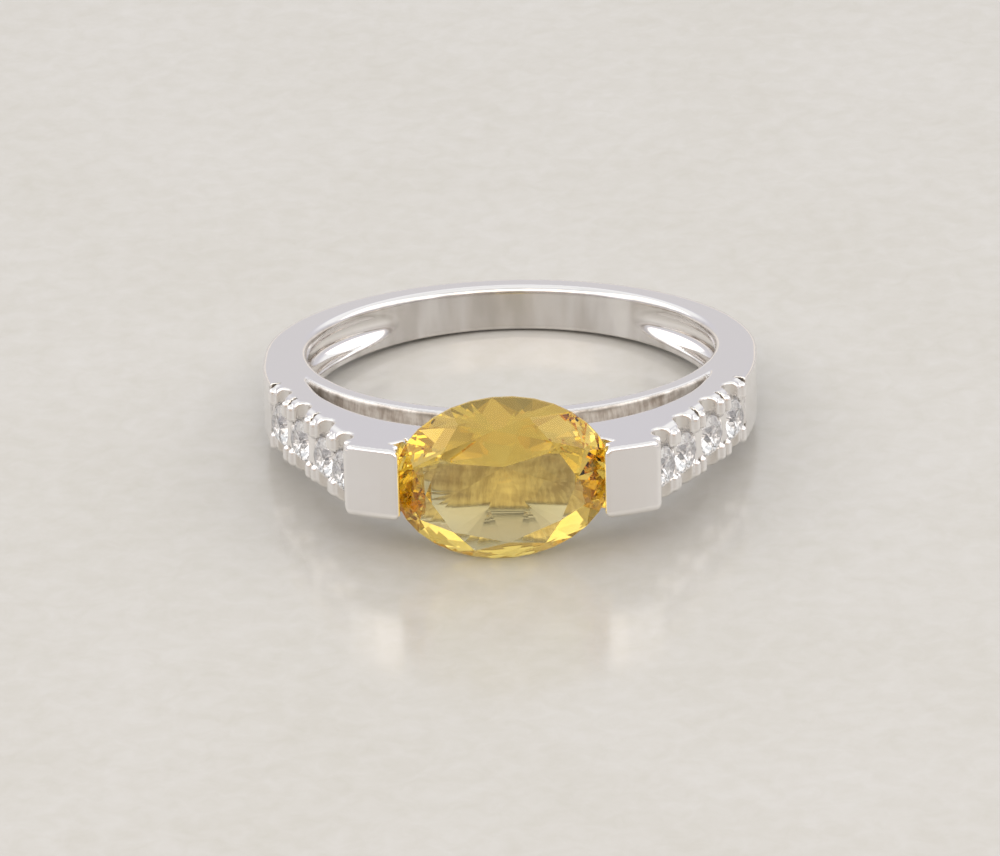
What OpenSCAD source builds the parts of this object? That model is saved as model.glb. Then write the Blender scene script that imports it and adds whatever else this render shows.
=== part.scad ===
// A finger ring lying on its side: one silver casting with raised shoulders, an oval citrine
// gripped at its two ends between bars, and four small round white stones on each shoulder.
// In ring coordinates Z is the axis of the finger hole and the citrine faces -Y. The word
// "forward" means towards -Y. rest() then leans the whole ring back the way it lies on a table,
// on the citrine's edge and the back of the band.

/* [Finger hole] */
// Diameter of the finger hole
finger_d = 17.35; // [17.2:0.05:17.5]

/* [Shank] */
// Thickness of the band at the back
back_t = 1.32; // [1.2:0.01:1.45]
// Width across the outside of the ring
outer_w = 20.9; // [20.6:0.1:21]
// Height of the band at the back
back_h = 1.9; // [1.8:0.05:2]
// Height of the band at the shoulders
shoulder_h = 3.1; // [3:0.02:3.14]
// Height of the band at the bars
front_h = 3.1; // [3:0.02:3.14]
// Depth of the hollow scooped out of the inside on each flank
scoop_depth = 0.65; // [0.4:0.05:0.75]
// Direction of the middle of a hollow, from the side towards the back
scoop_dir = 24; // [20:1:28]

/* [Shoulders] */
// How far forward the sides run straight
side_run = 1.4; // [1.2:0.1:1.6]
// Radius of the bend from the side into the shoulder
bend_r = 13; // [12:0.5:14]
// Angle that the shoulders lean inwards
lean = 27; // [26.5:0.5:28]
// Thickness of the inner rail that closes the finger hole
rail_t = 0.8; // [0.7:0.05:0.85]
// Radius of the outer wall of the crescent opening behind each shoulder
crescent_r = 7.6; // [7.55:0.01:7.65]
// Centre of that wall, from the middle of the ring: sideways and forward
crescent_at = [0.85, 3.47];

/* [Bars] */
// Gap between the two bars
bar_gap = 8.44; // [8.38:0.02:8.5]
// Width of each bar
bar_w = 2.3; // [2.2:0.05:2.35]
// Distance of the bars' front from the middle of the ring
bar_reach = 14.5; // [14.4:0.05:14.6]
// Rounding of the bars' upright corners
bar_round = 0.3; // [0.2:0.02:0.34]
// How near the middle the ledges behind the citrine's ends reach
ledge_in = 2.9; // [2.7:0.1:3.2]

/* [Citrine] */
// Length and width of the oval
citrine_size = [9, 7];
// Height of the crown and depth of the pavilion
citrine_depths = [1.05, 2.6];
// Thickness of the girdle
citrine_girdle = 0.14; // [0.1:0.02:0.2]
// Distance of the girdle from the middle of the ring
citrine_at = 12.8; // [12.75:0.05:12.85]
// Turn of the oval in its bars, its right end raised
citrine_turn = 6; // [0:0.5:7]

/* [Small stones] */
// Diameter of a small stone
accent_d = 1.74; // [1.66:0.02:1.76]
// Distances of the small stones' centres from the side of their bar, along the shoulder
accent_at = [0.34, 2.2, 4.55, 6.75];
// Depth of the channel that the small stones stand in
channel_depth = 0.06; // [0.04:0.01:0.1]
// Radius of the claws that hold the small stones
claw_r = 0.2; // [0.15:0.01:0.2]

/* [Hidden] */
silver = [0.83, 0.82, 0.83];
golden = [0.86, 0.68, 0.27];
white = [0.92, 0.94, 0.96];
stone_gap = 0.04;               // between a stone and the metal that holds it
finger_r = finger_d / 2;
rail_r = finger_r + rail_t;
side_x = outer_w / 2;
back_y = finger_r + back_t;
back_c = back_y - side_x;       // centre of the arc round the back of the band
bar_in = bar_gap / 2;
bar_out = bar_in + bar_w;
citrine_table = 0.7;            // the table's share of the oval's length and width
// The straight groove in each bar that takes a tip of the citrine follows its crown and pavilion
groove_x = citrine_size.x / 2 + 2 * stone_gap;
crown_slope = citrine_depths[0] / ((1 - citrine_table) * citrine_size.x / 2);
pavilion_slope = citrine_depths[1] / (citrine_size.x / 2);
arc_step = 3;                   // angle between the points of a curved outline
overrun = 1;                    // how far a cut runs past the surface

// Upper edge of the band as seen from its side, from the back to the bars
shoulder_y = -8;
side_profile = [[back_y, back_h / 2], [shoulder_y, shoulder_h / 2], [-bar_reach, front_h / 2]];
function polar(c, r, a) = [c.x + r * cos(a), c.y + r * sin(a)];
function arc(c, r, from, to) = let (n = ceil(abs(to - from) / arc_step))
    [for (i = [0 : n]) polar(c, r, from + (to - from) * i / n)];

// The shoulder's outer line starts at its bar and runs back to the bend. s is the distance
// along the channel floor from the side of the bar.
bend_c = [side_x - bend_r, -side_run];
floor_r = bend_r - channel_depth;
bend_end = polar(bend_c, floor_r, -lean);
line_len = (bend_end.x - bar_out) / sin(lean);
function bend_angle(s) = -lean + max(0, s - line_len) * 180 / (PI * floor_r);
function shoulder_at(s) = s < line_len
    ? bend_end - (line_len - s) * [sin(lean), cos(lean)]
    : polar(bend_c, floor_r, bend_angle(s));
// Middles of the prongs beyond each stone; the channel ends at the last one
prong_at = [(accent_at[0] + accent_at[1]) / 2, (accent_at[1] + accent_at[2]) / 2,
            (accent_at[2] + accent_at[3]) / 2, accent_at[3] + 1.2];
channel_end = bend_angle(prong_at[3]);

// Outer outline of the right half, from the middle of the back round to the middle of the front
function right_half() = let (
        out_c = [bar_out - bar_round, -sqrt(pow(bar_reach - bar_round, 2) - pow(bar_out - bar_round, 2))],
        in_c = [bar_in + bar_round, -sqrt(pow(bar_reach - bar_round, 2) - pow(bar_in + bar_round, 2))])
    concat(arc([0, back_c], side_x, 90, 0),
           arc(bend_c, bend_r, 0, channel_end),
           arc(bend_c, floor_r, channel_end, -lean),
           [shoulder_at(0)],
           arc(out_c, bar_round, 0, atan2(out_c.y, out_c.x)),
           arc([0, 0], bar_reach, atan2(out_c.y, out_c.x) - 1, atan2(in_c.y, in_c.x) + 1),
           arc(in_c, bar_round, atan2(in_c.y, in_c.x), -180),
           [[bar_in, -citrine_at - (groove_x - bar_in) * crown_slope], [groove_x, -citrine_at],
            [ledge_in, -citrine_at + (groove_x - ledge_in) * pavilion_slope],
            [ledge_in, -rail_r - 0.4 * overrun]]);
function flipped(points, sx, sy) =
    [for (i = [len(points) - 1 : -1 : 0]) [sx * points[i].x, sy * points[i].y]];

// How the ring lies: the lean, and the lift and shift that put its box on the origin
function citrine_ring(z, r = 1, n = 32) = [for (i = [0 : n - 1]) let (
        x = citrine_size.x / 2 * r * cos(i * 360 / n),
        y = citrine_size.y / 2 * r * sin(i * 360 / n))
    [x * cos(citrine_turn) - y * sin(citrine_turn), -z,
     x * sin(citrine_turn) + y * cos(citrine_turn)]];
citrine_low = -min([for (p = citrine_ring(0)) p.z]);
touch_y = citrine_at - citrine_girdle / 2;
rest_lean = atan((citrine_low - back_h / 2) / (touch_y + back_y));
rest_lift = citrine_low * cos(rest_lean) - touch_y * sin(rest_lean);
table_y = citrine_at + citrine_girdle / 2 + citrine_depths[0];
front_y = min([for (p = citrine_ring(table_y, citrine_table, 8))
    p.y * cos(rest_lean) + p.z * sin(rest_lean)]);
rear_y = back_y * cos(rest_lean) + back_h / 2 * sin(rest_lean);

module rest() {
    translate([0, -(front_y + rear_y) / 2, rest_lift]) rotate([-rest_lean, 0, 0]) children();
}

// A brilliant-cut stone with its table up and its girdle at the origin: an eight-sided table,
// kites and stars on the crown, and long kites down to the point of the pavilion
module cut_stone(size, crown, pavilion, girdle, table, star, lower, sides) {
    function level(n, r, z, turn = 0) = [for (i = [0 : n - 1])
        [size.x / 2 * r * cos(turn + i * 360 / n), size.y / 2 * r * sin(turn + i * 360 / n), z]];
    star_z = girdle / 2 + crown * (1 - star * cos(22.5)) / (1 - table);
    lower_z = -girdle / 2 - pavilion * (1 - lower * cos(22.5));
    points = concat(level(8, table, girdle / 2 + crown), level(8, star, star_z, 22.5),
                    level(sides, 1, girdle / 2), level(sides, 1, -girdle / 2),
                    level(8, lower, lower_z, 22.5), [[0, 0, -girdle / 2 - pavilion]]);
    hull() polyhedron(points, [[for (i = [0 : len(points) - 1]) i]]);
}

// The citrine's place, and its shape with room added all round
module citrine_shape(room = 0) {
    translate([0, -citrine_at, 0]) rotate([90, 0, 0]) rotate(citrine_turn)
        cut_stone([citrine_size.x + 2 * room, citrine_size.y + 2 * room],
                  citrine_depths[0] + room, citrine_depths[1] + room, citrine_girdle + 2 * room,
                  citrine_table, 0.85, 0.45, 32);
}

// Puts something at the distance s along a shoulder, with Z pointing out of the metal,
// X towards the back and Y up or down the band's height; side is 1 for right, -1 for left
module on_shoulder(s, side) {
    p = shoulder_at(s);
    mirror([side < 0 ? 1 : 0, 0, 0]) translate([p.x, p.y, 0]) rotate(bend_angle(s))
        rotate([90, 0, 90]) children();
}

// A small stone's girdle lies just under the channel floor, its table just above
accent_crown = 0.15 * accent_d;
accent_pavilion = 0.42 * accent_d;
accent_girdle = 0.06;
accent_sink = 0.1;

module accent(i, side) {
    color(white) rest() on_shoulder(accent_at[i], side) translate([0, 0, -accent_sink])
        cut_stone([accent_d, accent_d], accent_crown, accent_pavilion, accent_girdle,
                  0.58, 0.82, 0.4, 16);
}

module accent_seat() {
    seat_r = accent_d / 2 + stone_gap;
    foot = accent_pavilion + 2 * stone_gap;
    translate([0, 0, -accent_sink - accent_girdle]) cylinder(r = seat_r, h = overrun);
    translate([0, 0, -accent_sink - accent_girdle - foot + stone_gap])
        cylinder(r1 = 0.12, r2 = seat_r, h = foot);
}

// A round bite out of each edge beside a small stone, cut along the height of the band
bite_r = 0.5;
bite_depth = 0.5;
module edge_bites() {
    for (up = [-1, 1]) translate([0, up * (0.62 + overrun), bite_r - bite_depth])
        rotate([90, 0, 0]) cylinder(r = bite_r, h = 2 * overrun, center = true);
}

// The thin saw cut that splits a prong in two, in each edge; the prong nearest the bar is whole
module edge_slits() {
    slit = [0.16, overrun, 0.8];
    for (up = [-1, 1]) translate([0, up * (0.64 + slit.y / 2), 0]) cube(slit, center = true);
}

// Claws: short round bars with round ends along the prong's corner, one or two on each edge
claw_span = [0.8, 1.15];
claw_side = 0.27;
whole_claw_side = 0.12;         // the two claws of the whole prong run together
module claws(offsets) {
    for (up = [-1, 1], x = offsets) translate([x, up * claw_span[0], -0.02]) {
        rotate([-90 * up, 0, 0]) cylinder(r = claw_r, h = claw_span[1] - claw_span[0], $fn = 24);
        sphere(r = claw_r, $fn = 24);
        translate([0, up * (claw_span[1] - claw_span[0]), 0]) sphere(r = claw_r, $fn = 24);
    }
}

// The hollow inside a flank: a bent round bar's shape, sunk deepest in its middle
scoop_r = 0.78;
scoop_reach = 3.4;
module scoop(side) {
    bend = finger_r + scoop_depth - scoop_reach - scoop_r;
    mirror([side < 0 ? 1 : 0, 0, 0]) rotate(scoop_dir) translate([scoop_reach, 0, 0])
        rotate_extrude($fn = 96) translate([bend, 0]) circle(r = scoop_r, $fn = 32);
}

module band_blank() {
    intersection() {
        linear_extrude(2 * shoulder_h, center = true)
            polygon(concat(right_half(), flipped(right_half(), -1, 1)));
        rotate([90, 0, 90]) linear_extrude(2 * side_x, center = true)
            polygon(concat(side_profile, flipped(side_profile, 1, -1)));
    }
}

// The crescent openings behind the shoulders, which join in the gap behind the citrine
module crescents() {
    difference() {
        for (side = [0, 1]) mirror([side, 0, 0]) intersection() {
            translate([crescent_at.x, -crescent_at.y, 0])
                cylinder(r = crescent_r, h = 2 * shoulder_h, center = true, $fn = 96);
            translate([-overrun, -bar_reach, -shoulder_h]) cube([side_x, bar_reach, 2 * shoulder_h]);
        }
        cylinder(r = rail_r, h = 3 * shoulder_h, center = true, $fn = 96);
    }
}

module band() {
    color(silver) rest() {
        difference() {
            band_blank();
            cylinder(r = finger_r, h = 2 * shoulder_h, center = true, $fn = 96);
            crescents();
            citrine_shape(stone_gap);
            for (side = [-1, 1]) {
                scoop(side);
                for (s = accent_at) on_shoulder(s, side) {
                    accent_seat();
                    edge_bites();
                }
                for (i = [1 : 3]) on_shoulder(prong_at[i], side) edge_slits();
            }
        }
        for (side = [-1, 1]) {
            on_shoulder(prong_at[0], side) claws([-whole_claw_side, whole_claw_side]);
            for (i = [1, 2]) on_shoulder(prong_at[i], side) claws([-claw_side, claw_side]);
            on_shoulder(prong_at[3], side) claws([-claw_side]);
        }
    }
}

module citrine() {
    color(golden) rest() citrine_shape();
}

band();
citrine();
accent(0, -1);  // accent_left_1
accent(1, -1);  // accent_left_2
accent(2, -1);  // accent_left_3
accent(3, -1);  // accent_left_4
accent(0, 1);  // accent_right_1
accent(1, 1);  // accent_right_2
accent(2, 1);  // accent_right_3
accent(3, 1);  // accent_right_4
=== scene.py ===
import math
import bpy
import numpy as np
from mathutils import Matrix, Vector


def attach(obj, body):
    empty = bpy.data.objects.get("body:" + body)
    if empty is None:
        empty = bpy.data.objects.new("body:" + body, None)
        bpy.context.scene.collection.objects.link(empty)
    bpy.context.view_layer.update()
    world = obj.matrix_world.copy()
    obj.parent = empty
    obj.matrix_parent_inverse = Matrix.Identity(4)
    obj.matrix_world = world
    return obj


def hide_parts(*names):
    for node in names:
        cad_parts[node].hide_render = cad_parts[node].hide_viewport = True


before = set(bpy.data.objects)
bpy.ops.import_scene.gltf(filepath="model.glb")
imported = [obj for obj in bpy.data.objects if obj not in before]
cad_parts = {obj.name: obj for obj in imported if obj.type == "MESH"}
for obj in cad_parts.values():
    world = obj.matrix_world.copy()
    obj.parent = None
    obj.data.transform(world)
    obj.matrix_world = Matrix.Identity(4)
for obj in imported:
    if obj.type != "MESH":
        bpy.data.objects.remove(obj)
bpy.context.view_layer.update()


# Small helpers used all over

def hexColor(text):
    # sRGB hex to the linear values that a shader socket takes
    parts = [int(text.lstrip("#")[i:i + 2], 16) / 255 for i in (0, 2, 4)]
    return [p / 12.92 if p <= 0.04045 else ((p + 0.055) / 1.055) ** 2.4 for p in parts] + [1.0]


def addNode(tree, kind, settings=None, links=None):
    # settings are properties or input sockets by name or number, links are input: output socket
    node = tree.nodes.new(kind)
    for key, value in (settings or {}).items():
        if key == "stops":
            setStops(node.color_ramp.elements, value)
        elif isinstance(key, str) and hasattr(node, key):
            setattr(node, key, value)
        else:
            node.inputs[key].default_value = value
    for key, socket in (links or {}).items():
        tree.links.new(socket, node.inputs[key])
    return node


def setStops(elements, stops):
    # a new ramp has its first and its last stop already
    elements[0].position = stops[0][0]
    elements[0].color = hexColor(stops[0][1])
    elements[1].position = stops[-1][0]
    elements[1].color = hexColor(stops[-1][1])
    for position, color in stops[1:-1]:
        elements.new(position).color = hexColor(color)


def newMaterial(name):
    material = bpy.data.materials.new(name)
    material.use_nodes = True
    material.node_tree.nodes.clear()
    return material, material.node_tree


def buildObject(name, points, faces, normals=None):
    mesh = bpy.data.meshes.new(name)
    mesh.from_pydata(points.tolist(), [], [list(map(int, face)) for face in faces])
    mesh.update()
    if normals is not None:
        mesh.polygons.foreach_set("use_smooth", [True] * len(mesh.polygons))
        mesh.normals_split_custom_set_from_vertices(normals.tolist())
    obj = bpy.data.objects.new(name, mesh)
    bpy.context.scene.collection.objects.link(obj)
    return obj


# How the ring lies. Ring coordinates are millimetres, Z along the finger hole, the citrine facing -Y.

ringPose = {"leanDegrees": 6.41666, "shiftMm": 2.03327, "liftMm": 2.06107}
leanCos = math.cos(math.radians(ringPose["leanDegrees"]))
leanSin = math.sin(math.radians(ringPose["leanDegrees"]))


def ringToFrame(points):
    x, y, z = np.asarray(points).T
    rowY = y * leanCos + z * leanSin + ringPose["shiftMm"]
    rowZ = -y * leanSin + z * leanCos + ringPose["liftMm"]
    return np.stack([x, rowY, rowZ], -1) / 1000


def frameToRing(points):
    x, y, z = (np.asarray(points) * 1000).T
    y = y - ringPose["shiftMm"]
    z = z - ringPose["liftMm"]
    return np.stack([x, y * leanCos - z * leanSin, y * leanSin + z * leanCos], -1)


# The silver band, carved as a distance field so that every edge gets its polished rounding

bandShape = {
    "fingerRadius": 8.675,
    "railRadius": 9.475,             # outside of the rail that closes the finger hole
    "railStock": 0.4,                # in front of the rail, cut away again by the crescents
    "sideX": 10.45,
    "backCentreY": -0.455,
    "halfHeights": ((9.995, 0.95), (-8.0, 1.55), (-14.5, 1.55)),   # place along Y, half the height
    "heightRange": (-15.0, 11.0),
    "heightStep": 0.1,
    "heightEase": 1.2,               # each bend of the height is eased this far to both sides
    "sideRun": 1.4,
    "bendRadius": 13.0,
    "shoulderLean": 27.0,
    "channelDepth": 0.06,            # of the channel for the small stones
    "barInX": 4.22,
    "barOutX": 6.52,
    "barFront": 14.5,                # radius of the bars' fronts about the finger hole
    "barFrontTrim": 0.6,             # degrees that its arc stops before each corner
    "barCorner": 0.12,
    "barEdge": 0.17,                 # soft edge round the front of a bar
    "barFaceRounding": 0.38,         # corners of that front
    "barPlateY": -12.1,              # the front plate of a bar stands before this
    "barPlateClear": 0.004,          # and a hair outside the bar's sides,
    "barPlateFade": 0.3,             # further where the bar grows out of the shoulder
    "groove": [(4.22, -13.08), (4.58, -12.8), (2.9, -11.829)],   # lip, groove, ledge behind the citrine
    "grooveRounding": 0.04,
    "citrineGap": 0.04,
    "citrineNear": (5.2, -9.5),      # the groove is worked out inside this X and before this Y
    "crescentRadius": 7.6,
    "crescentCentre": (0.85, -3.47),
    "crescentRounding": 0.08,
    "railRounding": 0.1,             # added to it along the rail
    "railSpan": (0.15, 0.35),
    "hollowRadius": 0.78,
    "hollowBend": 5.145,
    "hollowReach": 3.4,
    "hollowDirection": 24.0,
    "hollowRounding": 0.1,
    "stonesAt": (0.34, 2.2, 4.55, 6.75),        # along the shoulder from the side of the bar
    "prongsAt": (1.27, 3.375, 5.65, 7.95),
    "seatRadius": 0.91,
    "seatDepth": 0.97,
    "seatSlope": 0.97,
    "seatSlopeFrom": -0.16,          # height where the seat starts to narrow
    "seatSlopeScale": 0.72,          # makes the sloping wall's value a distance
    "seatRounding": 0.03,
    "biteRadius": 0.5,
    "biteDepth": 0.5,
    "biteFromZ": 0.62,
    "biteRounding": 0.1,
    "slitHalfWidth": 0.08,
    "slitDepth": 0.4,
    "slitFromZ": 0.64,
    "slitRounding": 0.03,
    "clawRadius": 0.2,
    "clawSpan": (0.8, 1.15),
    "clawSides": ((-0.12, 0.12), (-0.27, 0.27), (-0.27, 0.27), (-0.27,)),
    "clawSink": 0.02,
    "clawFillet": 0.06,
    "outerRounding": 0.2,
    "channelRounding": 0.2,          # added to it beside the small stones,
    "backRounding": 0.12,            # round the back
    "underBarRounding": 0.18,        # and along the lower edge of a bar,
    "barTrim": 0.05,                 # taken off it all over a bar
    "lipRounding": 0.08,             # and used instead of it along the groove
    "channelSideSpan": (6.5, 6.62),  # each span says from where to where a rounding blends in
    "channelSpan": (4.7, 5.3),
    "barSpan": (11.6, 12.4),
    "barSideSpan": (12.15, 12.6),
    "backSpan": (0.0, 8.0),
    "underBarSpan": (0.0, 0.8),
    "lipSpan": (12.95, 13.3),
    "lipNear": (4.9, -9.6),
    "holeRounding": 0.14,            # finger hole, narrow on the rail
    "holeBackRounding": 0.18,        # and wider round the back
    "holeBackSpan": (-4.0, 4.0),
    "holeTopSpan": (-0.4, 0.4),
    "arcStep": 2.0,                  # degrees between an arc's points
    "cornerStep": 8.0,
    "gridLow": (-10.7, -14.4, -1.8),
    "gridHigh": (10.7, 10.25, 1.8),
    "cell": 0.095,                   # spacing of the grid that the surface is drawn from
}
bendCentre = (bandShape["sideX"] - bandShape["bendRadius"], -bandShape["sideRun"])
channelRadius = bandShape["bendRadius"] - bandShape["channelDepth"]


def polar(centre, radius, degrees):
    return (centre[0] + radius * math.cos(math.radians(degrees)),
            centre[1] + radius * math.sin(math.radians(degrees)))


def arcPoints(centre, radius, start, end, step=bandShape["arcStep"]):
    count = max(1, math.ceil(abs(end - start) / step))
    return [polar(centre, radius, start + (end - start) * i / count) for i in range(count + 1)]


def shoulderPlace(s):
    # on the lean line or the bend of the shoulder: the place s, the direction towards the back,
    # the direction out of the metal and its angle
    lean = bandShape["shoulderLean"]
    endX, endY = polar(bendCentre, channelRadius, -lean)
    lineLength = (endX - bandShape["barOutX"]) / math.sin(math.radians(lean))
    if s < lineLength:
        angle = -lean
        place = (endX - (lineLength - s) * math.sin(math.radians(lean)),
                 endY - (lineLength - s) * math.cos(math.radians(lean)))
    else:
        angle = -lean + math.degrees((s - lineLength) / channelRadius)
        place = polar(bendCentre, channelRadius, angle)
    out = polar((0, 0), 1, angle)
    return place, (-out[1], out[0]), out, angle


def onShoulder(s, x, y):
    # distance along the shoulder from the place s, and out of the metal there
    place, along, out, _ = shoulderPlace(s)
    return ((x - place[0]) * along[0] + (y - place[1]) * along[1],
            (x - place[0]) * out[0] + (y - place[1]) * out[1])


def bandOutline():
    # half the casting's outline, from the back along the side, the shoulder and the bar to the rail
    b = bandShape
    r = b["barCorner"]
    outCentre = (b["barOutX"] - r, -math.sqrt((b["barFront"] - r) ** 2 - (b["barOutX"] - r) ** 2))
    inCentre = (b["barInX"] + r, -math.sqrt((b["barFront"] - r) ** 2 - (b["barInX"] + r) ** 2))
    outAngle = math.degrees(math.atan2(outCentre[1], outCentre[0]))
    inAngle = math.degrees(math.atan2(inCentre[1], inCentre[0]))
    channelEnd = shoulderPlace(b["prongsAt"][-1])[3]
    railY = -b["railRadius"] - b["railStock"]
    return np.array(
        arcPoints((0, b["backCentreY"]), b["sideX"], 90, 0)
        + arcPoints(bendCentre, b["bendRadius"], 0, channelEnd)
        + arcPoints(bendCentre, channelRadius, channelEnd, -b["shoulderLean"])
        + [shoulderPlace(0)[0]]
        + arcPoints(outCentre, r, 0, outAngle, b["cornerStep"])
        + arcPoints((0, 0), b["barFront"], outAngle - b["barFrontTrim"], inAngle + b["barFrontTrim"])
        + arcPoints(inCentre, r, inAngle, -180, b["cornerStep"])
        + b["groove"]
        + [(b["groove"][-1][0], railY), (0, railY)])


def heightTable():
    # half the band's height at even places along Y
    low, high = bandShape["heightRange"]
    places = np.linspace(low, high, round((high - low) / bandShape["heightStep"]) + 1)
    listed = bandShape["halfHeights"]
    heights = np.interp(-places, [-y for y, _ in listed], [height for _, height in listed])
    reach = round(bandShape["heightEase"] / bandShape["heightStep"])
    weights = np.hanning(2 * reach + 3)[1:-1]
    return places, np.convolve(np.pad(heights, reach, "edge"), weights / weights.sum(), "valid")


def citrinePlanes():
    # the planes of the citrine's facets, each once, for the groove that holds it
    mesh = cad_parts["citrine"].data
    shortest = 1e-9                  # a thinner sliver has no direction
    planes = {}
    for polygon in mesh.polygons:
        corners = frameToRing([mesh.vertices[v].co[:] for v in polygon.vertices])
        normal = np.cross(corners[1] - corners[0], corners[2] - corners[0])
        length = np.linalg.norm(normal)
        if length > shortest:
            normal = normal / length
            planes[tuple(np.round(normal, 3))] = (normal, float(normal @ corners[0]))
    return list(planes.values())


outline = bandOutline()
heightPlaces, heightValues = heightTable()
facetPlanes = citrinePlanes()


def outlineDistance(line, x, y):
    # signed distance to the half outline, negative inside; its closing edge on the middle plane is open
    nearest = np.full(np.broadcast(x, y).shape, np.inf)
    inside = np.zeros(nearest.shape, bool)
    for (ax, ay), (bx, by) in zip(line[:-1], line[1:]):
        ex = bx - ax
        ey = by - ay
        if ex == 0 and ey == 0:
            continue
        t = np.clip(((x - ax) * ex + (y - ay) * ey) / (ex * ex + ey * ey), 0, 1)
        nearest = np.minimum(nearest, (x - ax - t * ex) ** 2 + (y - ay - t * ey) ** 2)
        if ey != 0:
            inside ^= ((ay > y) != (by > y)) & (x < ax + (y - ay) * ex / ey)
    lastY = line[-1][1]
    firstY = line[0][1]
    inside ^= ((lastY > y) != (firstY > y)) & (x < 0)
    return np.where(inside, -1, 1) * np.sqrt(nearest)


def roundCut(a, b, radius):
    # both shapes at once, their shared edge rounded
    return (np.minimum(np.maximum(a, b), -radius)
            + np.hypot(np.maximum(a + radius, 0), np.maximum(b + radius, 0)))


def weld(a, b, size):
    # either shape, with a small fillet where they meet
    h = np.clip(0.5 + 0.5 * (b - a) / size, 0, 1)
    return b + (a - b) * h - size * h * (1 - h)


def blendStep(value, low, high):
    t = np.clip((value - low) / (high - low), 0, 1)
    return t * t * (3 - 2 * t)


def outerEdge(ax, y, z):
    # rounding of the outer edges from place to place
    b = bandShape
    inChannel = blendStep(ax, *b["channelSideSpan"]) * blendStep(-y, *b["channelSpan"])
    onBar = blendStep(-y, *b["barSpan"])
    edge = b["outerRounding"] + b["channelRounding"] * inChannel * (1 - onBar)
    edge = edge + b["backRounding"] * blendStep(y, *b["backSpan"])
    edge = edge + onBar * (b["underBarRounding"] * blendStep(-z, *b["underBarSpan"]) - b["barTrim"])
    lip = b["lipRounding"]
    atLip = (ax < b["lipNear"][0]) & (y < b["lipNear"][1])
    return np.where(atLip, lip + (edge - lip) * blendStep(-y, *b["lipSpan"]), edge)


def barPlate(ax, y, z, rho, half):
    # free end of a bar: a plate with round corners and the same soft edge all round its front
    b = bandShape
    r = b["barFaceRounding"]
    middle = (b["barInX"] + b["barOutX"]) / 2
    aside = np.abs(ax - middle) - (b["barOutX"] - b["barInX"]) / 2 + r
    above = np.abs(z) - half + r
    face = (np.hypot(np.maximum(aside, 0), np.maximum(above, 0))
            + np.minimum(np.maximum(aside, above), 0) - r)
    free = np.where(ax < middle, blendStep(-y, *b["lipSpan"]), blendStep(-y, *b["barSideSpan"]))
    plate = roundCut(rho - b["barFront"], face, b["barEdge"])
    plate = plate - b["barPlateClear"] - b["barPlateFade"] * (1 - free)
    return np.where(y < b["barPlateY"], plate, -1)


def cutHoleAndOpenings(d, ax, y, z, rho):
    # finger hole, crescent openings and the hollows inside the flanks
    b = bandShape
    onBack = blendStep(y, *b["holeBackSpan"]) * blendStep(z, *b["holeTopSpan"])
    d = roundCut(d, b["fingerRadius"] - rho, b["holeRounding"] + b["holeBackRounding"] * onBack)
    cx, cy = b["crescentCentre"]
    crescent = np.maximum(np.hypot(ax - cx, y - cy) - b["crescentRadius"], b["railRadius"] - rho)
    offRail = blendStep(np.abs(rho - b["railRadius"]), *b["railSpan"])
    d = roundCut(d, -crescent, b["crescentRounding"] + b["railRounding"] * (1 - offRail))
    hx, hy = polar((0, 0), b["hollowReach"], b["hollowDirection"])
    hollow = np.hypot(np.hypot(ax - hx, y - hy) - b["hollowBend"], z) - b["hollowRadius"]
    return roundCut(d, -hollow, b["hollowRounding"])


def biteWall(along, out):
    # round notch cut down beside a small stone
    b = bandShape
    return np.hypot(along, out - b["biteRadius"] + b["biteDepth"]) - b["biteRadius"]


def slitWall(along, out):
    # straight slit between two claws
    return np.maximum(np.abs(along) - bandShape["slitHalfWidth"], -bandShape["slitDepth"] - out)


def cutShoulders(d, ax, y, z):
    # seats and bites of the small stones, then the slits and the claws between them
    b = bandShape
    for s in b["stonesAt"]:
        along, out = onShoulder(s, ax, y)
        d = roundCut(d, -np.maximum(biteWall(along, out), b["biteFromZ"] - np.abs(z)), b["biteRounding"])
        wall = np.hypot(along, z) - b["seatRadius"]
        slope = (wall - b["seatSlope"] * (out - b["seatSlopeFrom"])) * b["seatSlopeScale"]
        seat = np.maximum(np.maximum(wall, slope), -b["seatDepth"] - out)
        d = roundCut(d, -seat, b["seatRounding"])
    offClaw = np.abs(z) - np.clip(np.abs(z), *b["clawSpan"])
    for s, sides in zip(b["prongsAt"], b["clawSides"]):
        along, out = onShoulder(s, ax, y)
        if s > b["prongsAt"][0]:     # the first pair stands too close for a slit
            slit = np.maximum(slitWall(along, out), b["slitFromZ"] - np.abs(z))
            d = roundCut(d, -slit, b["slitRounding"])
        for side in sides:
            middle = np.sqrt((along - side) ** 2 + offClaw ** 2 + (out + b["clawSink"]) ** 2)
            d = weld(d, middle - b["clawRadius"], b["clawFillet"])
    return d


def cutGroove(d, x, y, z):
    # the groove takes the citrine's own shape with its gap, and is only worked out near it
    b = bandShape
    near = (np.abs(x) < b["citrineNear"][0]) & (y < b["citrineNear"][1])
    if not np.any(near):
        return d
    d, x, y, z, near = np.broadcast_arrays(d, x, y, z, near)
    d = d.copy()
    stone = np.full(near.sum(), -np.inf)
    for normal, offset in facetPlanes:
        stone = np.maximum(stone, normal[0] * x[near] + normal[1] * y[near] + normal[2] * z[near] - offset)
    d[near] = roundCut(d[near], b["citrineGap"] - stone, b["grooveRounding"])
    return d


def bandDistance(x, y, z):
    ax = np.abs(x)
    rho = np.hypot(x, y)
    half = np.interp(y, heightPlaces, heightValues)
    d = roundCut(outlineDistance(outline, ax, y), np.abs(z) - half, outerEdge(ax, y, z))
    d = np.maximum(d, barPlate(ax, y, z, rho, half))
    d = cutHoleAndOpenings(d, ax, y, z, rho)
    d = cutShoulders(d, ax, y, z)
    return cutGroove(d, x, y, z)


# From a distance field to quads: one point in every grid cell that the surface crosses

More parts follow.
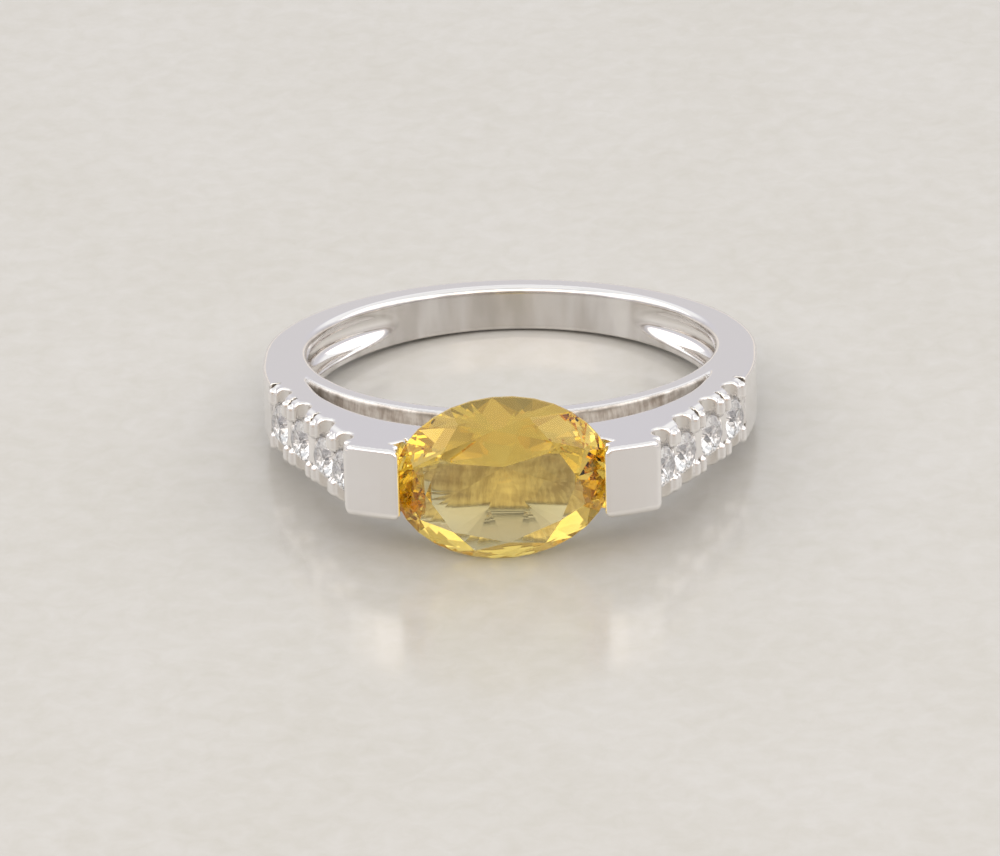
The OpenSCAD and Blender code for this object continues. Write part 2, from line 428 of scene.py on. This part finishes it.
surfaceSteps = {
    "rounds": 3,                     # moves of each point onto the surface
    "longestMove": 0.5,              # in cells
    "leastSlope": 0.2,
    "moveStep": 0.002,               # half the distance that a slope is measured over, mm
    "normalStep": 0.006,
    "leastLength": 1e-6,
}


def slopeAt(distance, points, step):
    columns = []
    for axis in range(3):
        shift = np.zeros(3)
        shift[axis] = step
        columns.append((distance(*(points + shift).T) - distance(*(points - shift).T)) / (2 * step))
    return np.stack(columns, -1)


def crossedCells(inside):
    # places of the cells with corners on both sides, and the number of each, -1 for all others
    corners = [inside[i:i + inside.shape[0] - 1, j:j + inside.shape[1] - 1, k:k + inside.shape[2] - 1]
               for i in (0, 1) for j in (0, 1) for k in (0, 1)]
    count = sum(corner.astype(np.int8) for corner in corners)
    crossed = (count > 0) & (count < len(corners))
    number = np.full(crossed.shape, -1, np.int64)
    number[crossed] = np.arange(crossed.sum())
    return np.argwhere(crossed), number


def cellPoints(field, cells):
    # the middle of the places where the surface crosses a cell's edges
    total = np.zeros((len(cells), 3))
    hits = np.zeros(len(cells))
    for axis in range(3):
        step = np.eye(3, dtype=int)[axis]
        others = [a for a in range(3) if a != axis]
        for corner in ((0, 0), (0, 1), (1, 0), (1, 1)):
            start = np.zeros(3, int)
            start[others] = corner
            first = field[tuple((cells + start).T)]
            second = field[tuple((cells + start + step).T)]
            crossed = (first < 0) != (second < 0)
            t = np.where(crossed, first / np.where(crossed, first - second, 1), 0)
            total[crossed] += (start + t[:, None] * step)[crossed]
            hits += crossed
    return cells + total / hits[:, None]


def cellQuads(inside, number):
    # one quad round every grid edge that the surface crosses, facing out of the metal
    quads = []
    for axis in range(3):
        u = (axis + 1) % 3
        v = (axis + 2) % 3
        here = [slice(1, -1)] * 3
        ahead = [slice(1, -1)] * 3
        here[axis] = slice(0, -1)
        ahead[axis] = slice(1, None)
        first = inside[tuple(here)]
        second = inside[tuple(ahead)]
        edges = np.argwhere(first != second)
        flip = second[tuple(edges.T)]
        ring = []
        for du, dv in ((0, 0), (1, 0), (1, 1), (0, 1)):
            cell = edges.copy()
            cell[:, u] += du
            cell[:, v] += dv
            ring.append(number[tuple(cell.T)])
        quad = np.stack(ring, -1)
        quad[flip] = quad[flip][:, ::-1]
        quads.append(quad)
    return np.concatenate(quads)


def surfaceMesh(distance, low, high, cell):
    axes = [np.arange(low[a], high[a] + cell, cell) for a in range(3)]
    field = distance(axes[0][:, None, None], axes[1][None, :, None], axes[2][None, None, :])
    inside = field < 0
    cells, number = crossedCells(inside)
    points = np.array(low) + cellPoints(field, cells) * cell
    longest = surfaceSteps["longestMove"] * cell
    for _ in range(surfaceSteps["rounds"]):
        slope = slopeAt(distance, points, surfaceSteps["moveStep"])
        move = distance(*points.T) / np.maximum((slope * slope).sum(1), surfaceSteps["leastSlope"])
        points = points - np.clip(move, -longest, longest)[:, None] * slope
    normals = slopeAt(distance, points, surfaceSteps["normalStep"])
    lengths = np.linalg.norm(normals, axis=1)
    normals /= np.maximum(lengths, surfaceSteps["leastLength"])[:, None]
    return points, cellQuads(inside, number), normals


bandPoints, bandQuads, bandNormals = surfaceMesh(
    bandDistance, bandShape["gridLow"], bandShape["gridHigh"], bandShape["cell"])
frameNormals = (ringToFrame(bandNormals) - ringToFrame(np.zeros((1, 3)))) * 1000
band = buildObject("band_polished", ringToFrame(bandPoints), bandQuads, frameNormals)


# How each part of the band was finished, and where painted shade goes on it, as one value a point that the
# silver reads

bandFinishAndShade = {
    "castFade": (0.02, 0.09),        # mm off the wall
    "castFrontOf": -2.0,
    "cutFade": (0.02, 0.07),
    "cutReach": 0.7,                 # half the length of the shoulder that a cut's wall is looked for in
    "cutHeights": (-0.8, 0.05),
    "cutFromZ": 0.55,
    "insideFade": (0.03, 0.12),
    "paintedShadeUnderEdge": (0.1, 0.34),   # painted shade, thick under the top edge, gone below
    "paintedShadeAside": (6.6, 8.0),        # and towards the ends of the crescents
}


def bandMarks(points):
    b = bandShape
    look = bandFinishAndShade
    x, y, z = points.T
    ax = np.abs(x)
    rho = np.hypot(x, y)
    # the rail's wall inside the crescents was left as it came from the mould
    cx, cy = b["crescentCentre"]
    inCrescent = (np.hypot(ax - cx, y - cy) < b["crescentRadius"]) & (y < look["castFrontOf"])
    asCast = (1 - blendStep(np.abs(rho - b["railRadius"]), *look["castFade"])) * inCrescent
    # the polishing wheel doesn't reach the walls of the cuts beside the small stones, so they are rougher;
    # their greyer colour is partly that dull finish and partly painted shade of the recess
    cutWall = np.zeros(len(points))
    cuts = [(s, biteWall) for s in b["stonesAt"]] + [(s, slitWall) for s in b["prongsAt"][1:]]
    for s, wall in cuts:
        along, out = onShoulder(s, ax, y)
        deep = (out > look["cutHeights"][0]) & (out < look["cutHeights"][1])
        near = (np.abs(along) < look["cutReach"]) & deep & (np.abs(z) > look["cutFromZ"])
        onWall = 1 - blendStep(np.abs(wall(along, out)), *look["cutFade"])
        cutWall = np.maximum(cutWall, near * onWall)
    # painted shade on the crescent wall: darker under the top edge and towards the ends of the crescents
    belowEdge = np.interp(y, heightPlaces, heightValues) - z
    shadeBelowEdge = 1 - blendStep(belowEdge, *look["paintedShadeUnderEdge"])
    return {
        "asCast": asCast,
        "cutWall": cutWall,
        "inside": 1 - blendStep(rho - b["fingerRadius"], *look["insideFade"]),
        "grime": np.maximum(shadeBelowEdge, blendStep(ax, *look["paintedShadeAside"])),
    }


for name, value in bandMarks(bandPoints).items():
    attribute = band.data.attributes.new(name, "FLOAT", "POINT")
    attribute.data.foreach_set("value", value.astype(np.float32))
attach(band, "root")
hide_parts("band")
print("stage: band surface,", len(bandPoints), "points,", len(bandQuads), "quads")


# Materials. A Mix node for colours has its factor at input 0, its colours at 6 and 7, its result at 2.

silverLook = {
    "polished": "#F1EFEE",
    "inside": "#CECAC6",
    # greyer colour of the cut walls: partly their dull finish, partly painted shade of the recess
    "cut": "#E4E1DD",
    "asCast": "#FFFBF6",
    "stain": "#C9BEB4",
    "stainFromTo": (0.4, 0.6),
    "grime": "#6F6456",              # painted shade under the top edge of the unpolished wall and towards its ends
    "paintedShadeFromTo": (0.95, 0.2),
    "roughnessFromTo": (0.072, 0.117),
    "insideRoughness": 0.17,
    "cutRoughness": 0.22,
    "castRoughness": 0.38,
    "castMetallic": 0.55,            # oxide on the unpolished wall
    "wavePitchMm": 2.4,              # slow waves left by hand polishing
    "waveHeightMm": 0.1,
    "waveStrength": 0.05,
    "scratchPitchMm": 0.12,          # the real ones are finer, these are as coarse as they need to show
    "grainPitchMm": 0.22,            # grain of the mould on the unpolished wall, also drawn coarse
    "grainHeightMm": 0.05,
    "grainStrength": 0.35,
    "patchPitchMm": 1.3,             # stains on it, wider than high
    "rubPitchMm": 1.1,               # upright streaks where the finger hole was polished by hand
    "rubFromTo": (0.25, 1.0),
    "uprightScale": (1.0, 1.0, 0.22),
    "lyingScale": (1.0, 1.0, 2.6),
}


def polishedSilver():
    # Sterling silver, cast and hand polished: a bright, slightly wavy mirror with soft fine scratches.
    # The wall inside the crescents stays as it came from the mould, dull, streaked and a little stained,
    # with painted shade under its top edge and towards its ends.
    look = silverLook
    material, tree = newMaterial("sterling_silver_cast_and_polished")
    place = addNode(tree, "ShaderNodeTexCoord").outputs["Object"]
    upright = addNode(tree, "ShaderNodeMapping", {"Scale": look["uprightScale"]}, {"Vector": place})
    lying = addNode(tree, "ShaderNodeMapping", {"Scale": look["lyingScale"]}, {"Vector": place})
    cast, cut, inner, shadeMask = (
        addNode(tree, "ShaderNodeAttribute", {"attribute_name": name}).outputs["Fac"]
        for name in ("asCast", "cutWall", "inside", "grime"))

    noise = {}
    for name, vector, detail, roughness in (
            ("wave", place, 1.0, 0.5),
            ("scratch", place, 2.0, 0.5),
            ("grain", upright.outputs["Vector"], 3.0, 0.65),
            ("patch", lying.outputs["Vector"], 2.0, 0.5),
            ("rub", upright.outputs["Vector"], 2.0, 0.5)):
        node = addNode(
            tree, "ShaderNodeTexNoise",
            {"Scale": 1000 / look[name + "PitchMm"], "Detail": detail, "Roughness": roughness},
            {"Vector": vector})
        noise[name] = node.outputs["Fac"]

    least, most = look["roughnessFromTo"]
    scratched = addNode(
        tree, "ShaderNodeMapRange",
        {"From Min": 0.3, "From Max": 0.7, "To Min": least, "To Max": most},
        {"Value": noise["scratch"]})
    rough = scratched.outputs["Result"]
    for mark, roughness in ((inner, "insideRoughness"), (cut, "cutRoughness"), (cast, "castRoughness")):
        mixed = addNode(
            tree, "ShaderNodeMix", {"data_type": "FLOAT", "B": look[roughness]},
            {"Factor": mark, "A": rough})
        rough = mixed.outputs[0]

    # colour of the unpolished wall, with its stains, and painted shade under its top edge and towards the
    # ends of the crescents
    stained = addNode(
        tree, "ShaderNodeMix", {"data_type": "FLOAT", "Factor": 0.5},
        {"A": noise["patch"], "B": noise["grain"]})
    dull = addNode(
        tree, "ShaderNodeValToRGB",
        {"stops": ((look["stainFromTo"][0], look["stain"]), (look["stainFromTo"][1], look["asCast"]))},
        {"Fac": stained.outputs[0]})
    # painted shade, broken up by the patches
    most, least = look["paintedShadeFromTo"]
    patchy = addNode(
        tree, "ShaderNodeMapRange",
        {"From Min": 0.3, "From Max": 0.6, "To Min": most, "To Max": least},
        {"Value": noise["patch"]})
    shadeHere = addNode(
        tree, "ShaderNodeMath", {"operation": "MULTIPLY"}, {0: shadeMask, 1: patchy.outputs["Result"]})
    dullAndShaded = addNode(
        tree, "ShaderNodeMix", {"data_type": "RGBA", 7: hexColor(look["grime"])},
        {0: shadeHere.outputs["Value"], 6: dull.outputs["Color"]})

    # colour of all other silver, rubbed in the finger hole, and greyer in the cuts, partly for their dull
    # finish and partly as painted shade of the recess
    least, most = look["rubFromTo"]
    rubbed = addNode(
        tree, "ShaderNodeMapRange",
        {"From Min": 0.35, "From Max": 0.65, "To Min": least, "To Max": most},
        {"Value": noise["rub"]})
    rubbedInside = addNode(
        tree, "ShaderNodeMath", {"operation": "MULTIPLY"}, {0: inner, 1: rubbed.outputs["Result"]})
    worn = addNode(
        tree, "ShaderNodeMix",
        {"data_type": "RGBA", 6: hexColor(look["polished"]), 7: hexColor(look["inside"])},
        {0: rubbedInside.outputs["Value"]})
    bright = addNode(
        tree, "ShaderNodeMix", {"data_type": "RGBA", 7: hexColor(look["cut"])},
        {0: cut, 6: worn.outputs[2]})
    tint = addNode(
        tree, "ShaderNodeMix", {"data_type": "RGBA"},
        {0: cast, 6: bright.outputs[2], 7: dullAndShaded.outputs[2]})

    waveBump = addNode(
        tree, "ShaderNodeBump",
        {"Strength": look["waveStrength"], "Distance": look["waveHeightMm"] / 1000},
        {"Height": noise["wave"]})
    grainHeight = addNode(
        tree, "ShaderNodeMath", {"operation": "MULTIPLY"}, {0: noise["grain"], 1: cast})
    grainBump = addNode(
        tree, "ShaderNodeBump",
        {"Strength": look["grainStrength"], "Distance": look["grainHeightMm"] / 1000},
        {"Height": grainHeight.outputs["Value"], "Normal": waveBump.outputs["Normal"]})
    metallic = addNode(
        tree, "ShaderNodeMapRange", {"To Min": 1.0, "To Max": look["castMetallic"]}, {"Value": cast})
    shader = addNode(
        tree, "ShaderNodeBsdfPrincipled",
        links={"Base Color": tint.outputs[2], "Metallic": metallic.outputs["Result"],
               "Roughness": rough, "Normal": grainBump.outputs["Normal"]})
    addNode(tree, "ShaderNodeOutputMaterial", links={"Surface": shader.outputs["BSDF"]})
    return material


citrineLook = {
    "surface": "#F4F1DB",
    "body": "#FAE71F",
    "density": 200.0,                # per metre: golden after 7 mm, paler through the thin rim
    "ior": 1.55,
    "polishPitchMm": 0.8,            # traces of the polishing, drawn as coarse as they need to show
    "roughnessFromTo": (0.0, 0.02),
}


def cutCitrine():
    # Citrine, cut and polished: clear golden quartz, richer where the light takes a longer way through
    look = citrineLook
    material, tree = newMaterial("citrine_cut_and_polished")
    place = addNode(tree, "ShaderNodeTexCoord")
    polish = addNode(
        tree, "ShaderNodeTexNoise", {"Scale": 1000 / look["polishPitchMm"], "Detail": 2.0},
        {"Vector": place.outputs["Object"]})
    least, most = look["roughnessFromTo"]
    rough = addNode(
        tree, "ShaderNodeMapRange",
        {"From Min": 0.3, "From Max": 0.7, "To Min": least, "To Max": most},
        {"Value": polish.outputs["Fac"]})
    shader = addNode(
        tree, "ShaderNodeBsdfPrincipled",
        {"Base Color": hexColor(look["surface"]), "IOR": look["ior"], "Transmission Weight": 1.0},
        {"Roughness": rough.outputs["Result"]})
    volume = addNode(
        tree, "ShaderNodeVolumeAbsorption",
        {"Color": hexColor(look["body"]), "Density": look["density"]})
    addNode(
        tree, "ShaderNodeOutputMaterial",
        links={"Surface": shader.outputs["BSDF"], "Volume": volume.outputs["Volume"]})
    return material


clearLook = {
    "surface": "#EEF0F3",
    "ior": 1.9,
    "polishPitchMm": 0.4,            # as on the citrine, finer on the small facets
    "roughnessFromTo": (0.03, 0.1),
}


def cutZirconia():
    # Cubic zirconia, cut and polished: colourless and very bright, each facet either white or grey
    look = clearLook
    material, tree = newMaterial("cubic_zirconia_cut_and_polished")
    place = addNode(tree, "ShaderNodeTexCoord")
    polish = addNode(
        tree, "ShaderNodeTexNoise", {"Scale": 1000 / look["polishPitchMm"], "Detail": 1.0},
        {"Vector": place.outputs["Object"]})
    least, most = look["roughnessFromTo"]
    rough = addNode(
        tree, "ShaderNodeMapRange",
        {"From Min": 0.3, "From Max": 0.7, "To Min": least, "To Max": most},
        {"Value": polish.outputs["Fac"]})
    shader = addNode(
        tree, "ShaderNodeBsdfPrincipled",
        {"Base Color": hexColor(look["surface"]), "IOR": look["ior"], "Transmission Weight": 1.0},
        {"Roughness": rough.outputs["Result"]})
    addNode(tree, "ShaderNodeOutputMaterial", links={"Surface": shader.outputs["BSDF"]})
    return material


band.data.materials.append(polishedSilver())
citrineMaterial = cutCitrine()
clearMaterial = cutZirconia()
for name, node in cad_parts.items():
    if name != "band":
        node.data.materials.clear()
        node.data.materials.append(citrineMaterial if name == "citrine" else clearMaterial)
print("stage: materials")


# The board that the ring lies on

floorLook = {
    "sizeM": 3.0,
    "color": "#C5C4C2",
    "shade": "#BBB9B3",
    "cloudMm": 12.0,
    "mottleMm": 1.1,
    "mottleShare": 0.6,
    "roughness": 0.16,
    "ior": 1.45,
}


def paleFloor():
    # Glazed off-white board: nearly even, with faint clouds and a soft sheen that mirrors the ring a little
    look = floorLook
    material, tree = newMaterial("pale_board_satin")
    place = addNode(tree, "ShaderNodeTexCoord")
    cloud = addNode(
        tree, "ShaderNodeTexNoise", {"Scale": 1000 / look["cloudMm"], "Detail": 3.0},
        {"Vector": place.outputs["Object"]})
    mottle = addNode(
        tree, "ShaderNodeTexNoise",
        {"Scale": 1000 / look["mottleMm"], "Detail": 4.0, "Roughness": 0.6, "Distortion": 0.4},
        {"Vector": place.outputs["Object"]})
    blotch = addNode(
        tree, "ShaderNodeMix", {"data_type": "FLOAT", "Factor": look["mottleShare"]},
        {"A": cloud.outputs["Fac"], "B": mottle.outputs["Fac"]})
    ramp = addNode(
        tree, "ShaderNodeValToRGB", {"stops": ((0.3, look["shade"]), (0.7, look["color"]))},
        {"Fac": blotch.outputs[0]})
    shader = addNode(
        tree, "ShaderNodeBsdfPrincipled", {"Roughness": look["roughness"], "IOR": look["ior"]},
        {"Base Color": ramp.outputs["Color"]})
    addNode(tree, "ShaderNodeOutputMaterial", links={"Surface": shader.outputs["BSDF"]})
    return material


reach = floorLook["sizeM"] / 2
floorCorners = [(-reach, -reach, 0), (reach, -reach, 0), (reach, reach, 0), (-reach, reach, 0)]
floor = buildObject("floor", np.array(floorCorners), [(0, 1, 2, 3)])
floor.data.materials.append(paleFloor())


# Light and camera

scene = bpy.context.scene
scene.view_settings.view_transform = "Standard"
scene.view_settings.look = "None"
scene.cycles.max_bounces = 24        # light takes many turns inside the cut stones
scene.cycles.glossy_bounces = 16
scene.cycles.transmission_bounces = 20

tentLook = {
    "strength": 1.3,
    "stops": (                       # height of a direction, its colour
        (0.0, "#E6DCD0"), (0.12, "#C2BFC0"), (0.27, "#C1BFC5"), (0.42, "#E6E6E6"), (0.95, "#D8D8D8")),
    "frontTint": "#E0D5CA",          # the tent is open towards the front, where the room is darker
    "frontFromTo": (-0.5, -0.88),
}


def lightTent():
    world = bpy.data.worlds.new("light_tent")
    world.use_nodes = True
    tree = world.node_tree
    tree.nodes.clear()
    direction = addNode(tree, "ShaderNodeTexCoord")
    split = addNode(tree, "ShaderNodeSeparateXYZ", links={"Vector": direction.outputs["Generated"]})
    tent = addNode(
        tree, "ShaderNodeValToRGB", {"stops": tentLook["stops"]}, {"Fac": split.outputs["Z"]})
    start, end = tentLook["frontFromTo"]
    front = addNode(
        tree, "ShaderNodeMapRange", {"From Min": start, "From Max": end}, {"Value": split.outputs["Y"]})
    around = addNode(
        tree, "ShaderNodeMix",
        {"data_type": "RGBA", "blend_type": "MULTIPLY", 7: hexColor(tentLook["frontTint"])},
        {0: front.outputs["Result"], 6: tent.outputs["Color"]})
    background = addNode(
        tree, "ShaderNodeBackground", {"Strength": tentLook["strength"]}, {"Color": around.outputs[2]})
    addNode(tree, "ShaderNodeOutputWorld", links={"Surface": background.outputs["Background"]})
    return world


scene.world = lightTent()

softboxes = {                        # metres and watts, each turned towards the ring
    "overhead_softbox": {
        "place": (0.02, 0.05, 0.42), "size": (0.34, 0.26), "watts": 0.03, "color": "#FFFDFB"},
    "front_softbox": {
        "place": (-0.04, -0.4, 0.42), "size": (0.8, 0.3), "watts": 1.3, "color": "#FFF2E4"},
    "left_fill": {
        "place": (-0.45, 0.03, 0.36), "size": (0.8, 0.38), "watts": 0.7, "color": "#FFF6EC"},
    "right_fill": {
        "place": (0.45, -0.04, 0.35), "size": (0.8, 0.38), "watts": 0.75, "color": "#FFF6EC"},
}
for name, box in softboxes.items():
    light = bpy.data.lights.new(name, "AREA")
    light.shape = "RECTANGLE"
    light.size, light.size_y = box["size"]
    light.energy = box["watts"]
    light.color = hexColor(box["color"])[:3]
    softbox = bpy.data.objects.new(name, light)
    softbox.location = box["place"]
    softbox.rotation_euler = (-Vector(box["place"])).to_track_quat("-Z", "Y").to_euler()
    scene.collection.objects.link(softbox)

cameraView = {
    "place": (0.012106, -0.313119, 0.153826),
    "azimuth": -2.3,
    "elevation": 26.0688,
    "roll": -1.8044,
    "lensMm": 296.48,
    "sensorMm": 36,
    "clipM": (0.01, 20),
}


def photoCamera():
    azimuth, elevation, roll = (math.radians(cameraView[key]) for key in ("azimuth", "elevation", "roll"))
    level = math.cos(elevation)
    ahead = Vector((math.sin(azimuth) * level, math.cos(azimuth) * level, -math.sin(elevation)))
    aside = Vector((math.cos(azimuth), -math.sin(azimuth), 0))
    right = aside * math.cos(roll) + aside.cross(ahead) * math.sin(roll)
    turn = Matrix((right, right.cross(ahead), -ahead)).transposed().to_4x4()
    camera = bpy.data.objects.new("photo_camera", bpy.data.cameras.new("photo_camera"))
    camera.data.lens = cameraView["lensMm"]
    camera.data.sensor_width = cameraView["sensorMm"]
    camera.data.clip_start, camera.data.clip_end = cameraView["clipM"]
    camera.matrix_world = Matrix.Translation(cameraView["place"]) @ turn
    scene.collection.objects.link(camera)
    return camera


scene.camera = photoCamera()
print("stage: floor, light and camera")
